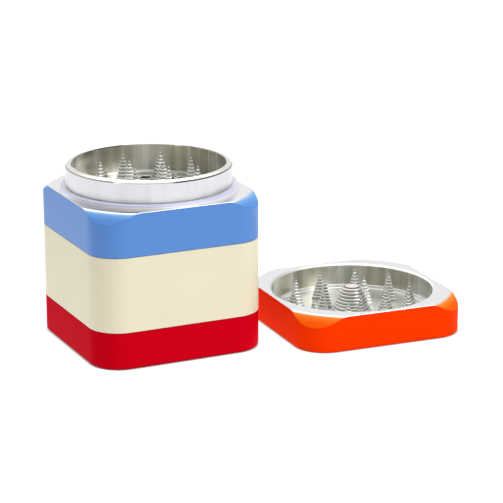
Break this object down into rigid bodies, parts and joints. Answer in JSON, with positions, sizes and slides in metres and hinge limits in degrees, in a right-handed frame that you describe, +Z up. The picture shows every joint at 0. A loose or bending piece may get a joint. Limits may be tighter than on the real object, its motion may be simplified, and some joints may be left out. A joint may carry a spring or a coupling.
{
  "type": "herb grinder",
  "caption": "Square hand grinder in stacked coloured sections: toothed chamber with a bare neck, storage with a screen, powder catcher, and a toothed lid lying upside down beside it.",
  "frame": {"origin": "centre of the catcher's flat underside, on the table", "axes": "+Z up the stack's axis, +X towards the side on which the lid lies, X and Y square to the flat sides of the stack"},
  "size_m": [0.1303, 0.0755, 0.061],
  "materials": {
    "red_coating": "satin fine-grained coating over turned aluminium",
    "cream_coating": "satin fine-grained coating over turned aluminium",
    "blue_coating": "satin fine-grained coating over turned aluminium",
    "orange_coating": "satin fine-grained coating over turned aluminium",
    "bare_aluminium": "bright milled",
    "magnet_nickel": "polished nickel plate",
    "ring_polymer": "translucent, satin",
    "screen_steel": "woven wire, bright",
    "clamp_aluminium": "turned"
  },
  "bodies": {
    "catcher": {"catcher_body": "red_coating"},
    "screen": {"screen_mesh": "screen_steel", "screen_ring": "clamp_aluminium"},
    "storage": {"storage_body": "cream_coating"},
    "chamber_core": {"chamber_magnet": "magnet_nickel"},
    "chamber": {"chamber_body": "blue_coating", "chamber_floor": "bare_aluminium", "chamber_outer_teeth": "bare_aluminium", "chamber_inner_teeth": "bare_aluminium", "neck_ring": "ring_polymer"},
    "lid_core": {"lid_magnet": "magnet_nickel"},
    "lid": {"lid_body": "orange_coating", "lid_outer_teeth": "bare_aluminium", "lid_inner_teeth": "bare_aluminium", "lid_post": "bare_aluminium"}
  },
  "joints": [
    {"name": "storage_rise", "type": "slide", "parent": "catcher", "child": "screen", "axis": [0, 0, 1], "range_m": [0, 0.006]},
    {"name": "storage_turn", "type": "hinge", "parent": "screen", "child": "storage", "pos_m": [0, 0, 0.0126], "axis": [0, 0, 1], "range_deg": [0, 1440]},
    {"name": "chamber_rise", "type": "slide", "parent": "storage", "child": "chamber_core", "axis": [0, 0, 1], "range_m": [0, 0.006]},
    {"name": "chamber_turn", "type": "hinge", "parent": "chamber_core", "child": "chamber", "pos_m": [0, 0, 0.0378], "axis": [0, 0, 1], "range_deg": [0, 1440]},
    {"name": "lid_flip", "type": "hinge", "parent": "catcher", "child": "lid_core", "pos_m": [0.0347, -0.0073, 0.03892], "axis": [-0.2059, -0.9786, 0], "range_deg": [0, 180]},
    {"name": "lid_turn", "type": "hinge", "parent": "lid_core", "child": "lid", "pos_m": [0.0694, -0.0146, 0.0122], "axis": [0, 0, -1], "continuous": true}
  ],
  "couplings": [
    {"joint": "storage_rise", "follows": "storage_turn", "m_per_rad": 0.00023873},
    {"joint": "chamber_rise", "follows": "chamber_turn", "m_per_rad": 0.00023873}
  ]
}
